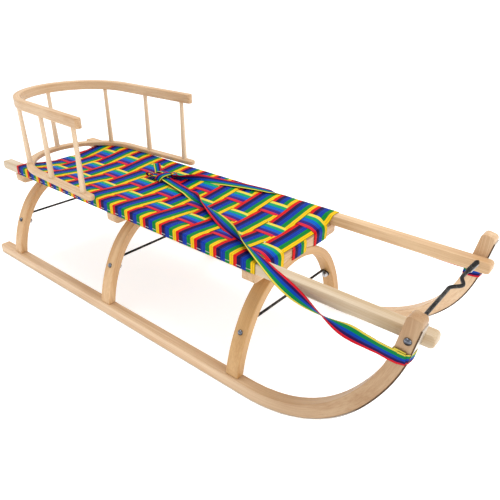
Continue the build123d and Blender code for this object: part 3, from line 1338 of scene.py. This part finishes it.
@dataclass
class WovenSeat:
    """Sixteen straps from rail to rail, woven through three from crosspiece to crosspiece.

    The front bend gives steps back from the last crossing, with the share of the drop to the crosspiece.
    The front wrap gives steps ahead and up from the crosspiece's face. The two levels give where a long
    strap starts to lie flat, and over what length. Staples stand at steps along and up from a strap's tail.
    """

    webbing: bpy.types.Material
    webbing_along: bpy.types.Material
    zinc: bpy.types.Material
    width: float = 0.0450
    cross_width: float = 0.0463
    thickness: float = 0.0013
    weave_step: float = 0.0008
    sag: float = 0.0085
    end_sag: float = 0.0048
    end_sag_step: float = 0.0016
    edge_turn: float = 0.0052
    edge_droop: float = 0.0021
    edge_droop_from: float = 0.66
    edge_rest: float = 0.2232
    edge_rest_from: float = 0.35
    long_rest_rise: float = 0.0010
    edge_pull: float = 0.0042
    rail_lip: float = 0.0005
    rail_reach: float = 0.016
    gap_reach: float = 0.003
    crossing_inset: float = 0.006
    tail_z: float = 0.2215
    wrap_turn: float = 0.014
    wrap_end: float = 0.1975
    front_bend: Stops = ((0.0265, 0.01), (0.0165, 0.05), (0.0087, 0.29), (0.0025, 0.68))
    front_wrap: Stops = ((-0.0012, 0.0002), (0.0008, -0.008), (0.0, -0.016))
    front_level: tuple[float, float] = (0.020, 0.019)
    rear_level: tuple[float, float] = (0.026, 0.024)
    staple_size: Point = (0.010, 0.0011, 0.0008)
    staple_gap: float = 0.0001
    staple_places: Stops = ((-0.011, 0.0045), (0.010, 0.0057))
    count: int = 16
    rows: tuple[str, ...] = ("right", "middle", "left")
    row_y: list[float] = field(default_factory=list)

    def place(self, cross: int) -> float:
        """Return a cross strap's place along the sled."""
        return box_centre(f"cross_strap_{cross + 1:02d}").x

    def over(self, cross: int, row: int) -> bool:
        """Return whether a long strap lies over a cross strap."""
        return (cross + row + self.count) % 2 == 1

    def depth(self, cross: int) -> float:
        """Return how far a cross strap sags at its middle."""
        steps = min(cross, self.count - 1 - cross)
        return self.sag + max(0.0, self.end_sag - self.end_sag_step * steps)

    def height(self, cross: int, y: float) -> float:
        """Return the weave's middle height on a cross strap.

        Args:
            cross: The cross strap's number, from 0 at the rear.
            y: The place across the sled.

        Returns:
            The height.
        """
        low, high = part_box("rail_left")
        share = y / low.y
        return high.z + self.thickness / 2 - self.depth(cross) * (1 - share * share)

    def cross_strap(self, cross: int) -> None:
        """Lay one strap from rail to rail.

        Args:
            cross: Its number, from 0 at the rear.
        """
        x = self.place(cross)
        low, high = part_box("rail_left")
        top = high.z + self.thickness / 2
        outer = high.y + self.thickness / 2
        inner = low.y
        turn = self.edge_turn
        middle = []
        for row, y in enumerate(self.row_y):
            step = -self.weave_step if self.over(cross, row) else self.weave_step
            for reach in (-self.width / 2, 0.0, self.width / 2):
                middle.append((y + reach, self.height(cross, y + reach) + step))
        ends = [
            (outer, self.tail_z),
            (outer, (self.tail_z + top) / 2),
            (outer, top - turn),
            (outer, top),
            (outer - turn, top),
            (inner + turn * 0.7, top),
            (inner - turn * 0.6, top - self.rail_lip),
        ]
        right = [(-y, z) for y, z in ends]
        line = smooth_line([(x, y, z) for y, z in right + middle + ends[::-1]], 5)
        last = cross == self.count - 1

        def settle(place: Vector, share: float) -> Vector:
            """Let the front edge sink between the long straps, and the last strap on to its crosspiece.

            Args:
                place: A place on the strap.
                share: Its share across the strap, from 0 at the rear edge.

            Returns:
                Where the place ends up.
            """
            inside = min(max((inner - abs(place.y)) / self.rail_reach, 0.0), 1.0)
            clear = min(abs(place.y - y) for y in self.row_y) - self.width / 2
            open_part = min(max(clear / self.gap_reach, 0.0), 1.0) * inside
            edge = max(0.0, (share - self.edge_droop_from) / (1 - self.edge_droop_from)) ** 1.5
            place = place - UPWARD * (self.edge_droop * edge * open_part)
            if last:
                bent = max(0.0, (share - self.edge_rest_from) / (1 - self.edge_rest_from)) ** 2
                drop = max(0.0, place.z - self.edge_rest) * bent * inside
                place = place - Vector((self.edge_pull * bent * inside, 0.0, drop))
            return place

        widths = [self.cross_width] * len(line)
        skin = ribbon(line, [FORWARD] * len(line), widths, self.thickness, settle=settle)
        number = f"{cross + 1:02d}"
        make_piece(f"webbing_across_{number}", [skin], self.webbing, [f"cross_strap_{number}"])

    def long_strap(self, row: int) -> None:
        """Lay one strap from the rear crosspiece to the front one.

        Args:
            row: Its number, from 0 on the right.
        """
        y = self.row_y[row]
        half = self.thickness / 2
        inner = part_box("rail_left")[0].y
        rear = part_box("crosspiece_rear")[0].x - half
        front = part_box("crosspiece_front")[1].x + half
        points = []
        for cross in range(self.count):
            x = self.place(cross)
            step = self.weave_step if self.over(cross, row) else -self.weave_step
            z = self.height(cross, y) + step
            reach = self.width / 2 - self.crossing_inset
            points += [(x - reach, z), (x + reach, z)]
        first = points[0][1]
        x, last = points.pop()
        step = last - self.height(self.count - 1, y)
        rest = self.edge_rest + step + self.long_rest_rise
        lead = [
            (rear, self.wrap_end),
            (rear, first - self.wrap_turn),
            (rear + self.rail_lip, first - self.wrap_turn * 0.3),
        ]
        tail = [(x - back, last - share * (last - rest)) for back, share in self.front_bend]
        tail += [(front + ahead, rest + rise) for ahead, rise in self.front_wrap]
        tail.append((front, self.wrap_end))
        line = smooth_line([(x, y, z) for x, z in lead + points + tail], 4)
        depths = [(self.place(cross), self.depth(cross)) for cross in range(self.count)]
        across = []
        for point in line:
            ahead = (point.x - (front - self.front_level[0])) / self.front_level[1]
            behind = (rear + self.rear_level[0] - point.x) / self.rear_level[1]
            level = min(max(ahead, behind, 0.0), 1.0)
            slope = 2 * between(depths, point.x) * y / inner**2
            across.append(Vector((0, 1, slope * (1 - level))))
        skin = ribbon(line, across, [self.width] * len(line), self.thickness)
        name = self.rows[row]
        make_piece(f"webbing_along_{name}", [skin], self.webbing_along, [f"long_strap_{name}"])

    def staples(self) -> None:
        """Drive the staples through the straps' tails."""
        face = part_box("rail_left")[1].y + self.thickness + self.staple_gap
        skins = []
        for side in Side:
            axes = (FORWARD, UPWARD, LEFTWARD * side.value)
            for cross in range(self.count):
                for offset, rise in self.staple_places:
                    centre = Vector((self.place(cross) + offset, side.value * face, self.tail_z + rise))
                    skins.append(block(centre, axes, self.staple_size))
        make_piece("staples", skins, self.zinc)

    def build(self) -> None:
        """Weave the seat."""
        self.row_y = [box_centre(f"long_strap_{name}").y for name in self.rows]
        for cross in range(self.count):
            self.cross_strap(cross)
        for row in range(len(self.rows)):
            self.long_strap(row)
        self.staples()


# ---------------------------------------------------------------------------
# The tow strap
# ---------------------------------------------------------------------------


@dataclass
class Strand:
    """One strand of the tow strap, from a horn loop to the knot.

    Its route is in millimetres. Its rolls are pairs of a place along the sled, in millimetres, and the
    turn of the strap's width there, in degrees from level.
    """

    side: Side
    route: tuple[Point, ...]
    rolls: Stops
    width: float = 0.0215
    gathered: float = 0.0205
    gathered_from: float = 0.500
    gathered_to: float = 0.5155
    thickness: float = 0.0014

    def line(self) -> list[Vector]:
        """Return the points along the strand's middle."""
        return smooth_line(in_metres(self.route), 10)

    def across(self, line: Sequence[Vector]) -> list[Vector]:
        """Return the direction of the strand's width at each point of its line.

        Args:
            line: The points.

        Returns:
            The directions.
        """
        found = []
        for point, along in zip(line, tangents(line)):
            level = Vector((-along.y, along.x, 0)).normalized()
            level *= 1 if level.y > 0 else -1
            up = along.cross(level)
            up *= 1 if up.z > 0 else -1
            roll = radians(between(self.rolls, point.x * 1000))
            found.append(level * cos(roll) + up * sin(roll))
        return found

    def build(self, webbing: bpy.types.Material, knot: bpy.types.Object) -> None:
        """Args:
            webbing: Its finish.
            knot: The knot at its far end. Not used.
        """
        line = self.line()
        stops = ((self.gathered_from, self.width), (self.gathered_to, self.gathered))
        widths = [between(stops, point.x) for point in line]
        skin = ribbon(line, self.across(line), widths, self.thickness, ribs=8)
        word = self.side.word
        piece = make_piece(f"tow_strap_{word}", [skin], webbing, [f"tow_strand_{word}"])


@dataclass(frozen=True)
class Fold:
    """A short length of strap in the knot, in millimetres, with the way its width lies at each end."""

    route: tuple[Point, ...]
    across: tuple[Point, Point]
    width: float = 17.0
    thickness: float = 1.4

    def skin(self) -> Loft:
        """Build the fold.

        Returns:
            Its skin.
        """
        line = smooth_line(in_metres(self.route))
        start, end = (Vector(direction) for direction in self.across)
        across = [start.lerp(end, share) for share in shares(line)]
        return ribbon(line, across, [self.width / 1000] * len(line), self.thickness / 1000, ribs=8)


@dataclass(frozen=True)
class Layer:
    """A flat layer of strap on a horn's outer face.

    Its run is given by places along the sled and up. Its widths are stops along the sled.
    """

    face_y: float
    run: Stops
    widths: Stops
    thickness: float

    def skin(self, side: Side) -> Loft:
        """Build the layer.

        Args:
            side: The horn's side.

        Returns:
            Its skin.
        """
        line = smooth_line([(x, side.value * self.face_y, z) for x, z in self.run], 4)
        widths = [between(self.widths, point.x) for point in line]
        return ribbon(line, [UPWARD] * len(line), widths, self.thickness, ribs=8)


HORN_LAYERS = (
    Layer(
        0.1548,
        ((0.5140, 0.2064), (0.5190, 0.2070), (0.5250, 0.2076)),
        ((0.5155, 0.0200), (0.5250, 0.0178)),
        0.0018,
    ),
    Layer(0.1535, ((0.5070, 0.2100), (0.5140, 0.2102), (0.5225, 0.2088)), ((0.5070, 0.0185),), 0.0014),
)

KNOT_FOLDS = (
    Fold(
        ((-132, 38, 240), (-143, 37, 243), (-156, 34, 246), (-168, 31, 245), (-178, 29, 240)),
        ((-0.1, -1.0, 0.0), (0.2, -1.0, -0.3)),
        14.0,
    ),
    Fold(
        ((-128, 48, 242), (-142, 52, 246), (-156, 53, 248), (-167, 51, 248), (-176, 50, 243)),
        ((0.1, -1.0, 0.1), (0.3, -0.9, 0.2)),
    ),
    Fold(
        (
            (-145, 23, 239), (-143, 26, 246), (-138, 36, 250),
            (-135, 48, 250), (-136, 59, 246), (-139, 65, 239),
        ),
        ((0.95, 0.25, -0.2), (0.95, -0.2, -0.2)),
        14.0,
    ),
    Fold(
        (
            (-166, 46, 245), (-175, 53, 254), (-186, 60, 260),
            (-196, 67, 253), (-192, 67, 243), (-178, 58, 241),
        ),
        ((-0.78, -0.62, 0.1), (-0.7, -0.7, 0.0)),
        15.0,
    ),
    Fold(
        (
            (-164, 34, 242), (-170, 29, 249), (-179, 27, 250),
            (-184, 27, 243), (-178, 29, 239), (-166, 34, 239),
        ),
        ((-0.45, 0.85, -0.2), (-0.5, 0.8, -0.3)),
        13.0,
    ),
    Fold(
        (
            (-143, 54, 244), (-134, 59, 250), (-125, 62, 250),
            (-121, 63, 243), (-128, 60, 239), (-142, 54, 240),
        ),
        ((-0.5, 0.8, -0.2), (-0.5, 0.8, -0.3)),
        11.0,
    ),
)


@dataclass
class TowStrap:
    """The tow strap: a loop round each horn, two strands and their knot on the seat."""

    webbing: bpy.types.Material
    back_band: float = 0.0125
    front_band: float = 0.0170
    band_z: float = 0.2056
    left_rise: float = 0.0022
    thickness: float = 0.0014
    lean: float = radians(9)
    fall: float = radians(-12)
    corner: float = 0.005
    slack: tuple[float, float] = (0.0012, 0.0006)

    def knot(self) -> bpy.types.Object:
        """Tie the knot on the seat.

        Returns:
            The knot.
        """
        skins = [fold.skin() for fold in KNOT_FOLDS]
        return make_piece("strap_knot", skins, self.webbing, ["tow_knot"])

    def horn_loop(self, side: Side) -> bpy.types.Object:
        """Wrap the strap's loop round a horn.

        Args:
            side: The horn's side.

        Returns:
            The loop.
        """
        node = f"horn_loop_{side.word}"
        low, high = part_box(node)
        rise = self.left_rise if side is Side.LEFT else 0.0
        centre = (low + high) / 2
        centre.z = self.band_z + rise
        half_x = (high.x - low.x) / 2 - self.slack[0]
        half_y = (high.y - low.y) / 2 - self.slack[1]
        along = Vector((cos(self.fall), 0, -sin(self.fall)))
        near_x, near_y = half_x - self.corner, half_y - self.corner
        plan = [
            (0, -half_y), (near_x, -half_y), (half_x, -near_y), (half_x, near_y), (near_x, half_y),
            (0, half_y), (-near_x, half_y), (-half_x, near_y), (-half_x, -near_y), (-near_x, -half_y),
            (0, -half_y),
        ]
        line = smooth_line([tuple(centre + along * a + LEFTWARD * side.value * b) for a, b in plan], 6)
        stops = (
            (centre.x - half_x, self.back_band),
            (centre.x + half_x - 0.002, self.front_band + 2 * rise),
        )
        widths = [between(stops, point.x) for point in line]
        up = Vector((sin(self.lean), 0, cos(self.lean)))
        skins = [ribbon(line, [up] * len(line), widths, self.thickness, ribs=8)]
        skins += [layer.skin(side) for layer in HORN_LAYERS]
        return make_piece(f"strap_loop_{side.word}", skins, self.webbing, [node])

    def build(self) -> None:
        """Make the loops, the knot and the strands."""
        for side in Side:
            self.horn_loop(side)
        knot = self.knot()
        Strand(Side.RIGHT, RIGHT_ROUTE, RIGHT_ROLLS).build(self.webbing, knot)
        Strand(Side.LEFT, LEFT_ROUTE, LEFT_ROLLS).build(self.webbing, knot)


RIGHT_ROUTE = (
    (515.5, -154.6, 206.4), (500, -154.2, 206.6), (485, -152, 206.4), (451, -147, 204.5),
    (403, -143, 207), (353, -141, 220), (307, -139, 238), (265, -126, 249), (225, -106, 249),
    (183, -82, 245), (135, -60, 243), (75, -31, 242), (21, -6, 241), (-39, 15, 240), (-92, 28, 240),
    (-139, 40, 241),
)
RIGHT_ROLLS = (
    (-139, -540), (-40, -535), (0, -470), (30, -408), (134, -320), (207, -229), (290, -179),
    (326, -138), (390, -44), (413, -5), (436, 40), (460, 75), (485, 90), (516, 86),
)
LEFT_ROUTE = (
    (515.5, 154.6, 206.4), (500, 154.2, 207), (485, 152, 207), (443, 148, 210), (383, 147, 212),
    (318, 147, 213), (253, 148, 213), (191, 147, 215), (160, 145, 220), (138, 142, 226),
    (118, 135, 235), (96, 124, 243.5), (62, 115, 245), (33, 109, 245), (-5, 101, 244),
    (-57, 90, 242), (-101, 68, 241), (-141, 54, 242),
)
LEFT_ROLLS = (
    (-141, 322), (-108, 316), (-84, 270), (-50, 212), (-10, 192), (60, 180), (92, 175), (118, 135),
    (150, 90), (516, 90),
)


def main() -> None:
    """Build the studio and the sled's dressing."""
    logging.basicConfig(level=logging.INFO, format="%(name)s %(message)s")
    ProductCamera().build()
    TowStrap(TOW_WEBBING.make()).build()
    Studio().build()
    WoodenFrame().build()
    Spindles().build()
    zinc = ZINC.make()
    Rods(BLACKENED.make(), zinc, CHROME.make()).build()
    WovenSeat(SEAT_WEBBING.make(), SHEEN_PAINTED_WEBBING.make(), zinc).build()


if __name__ == "__main__":
    main()
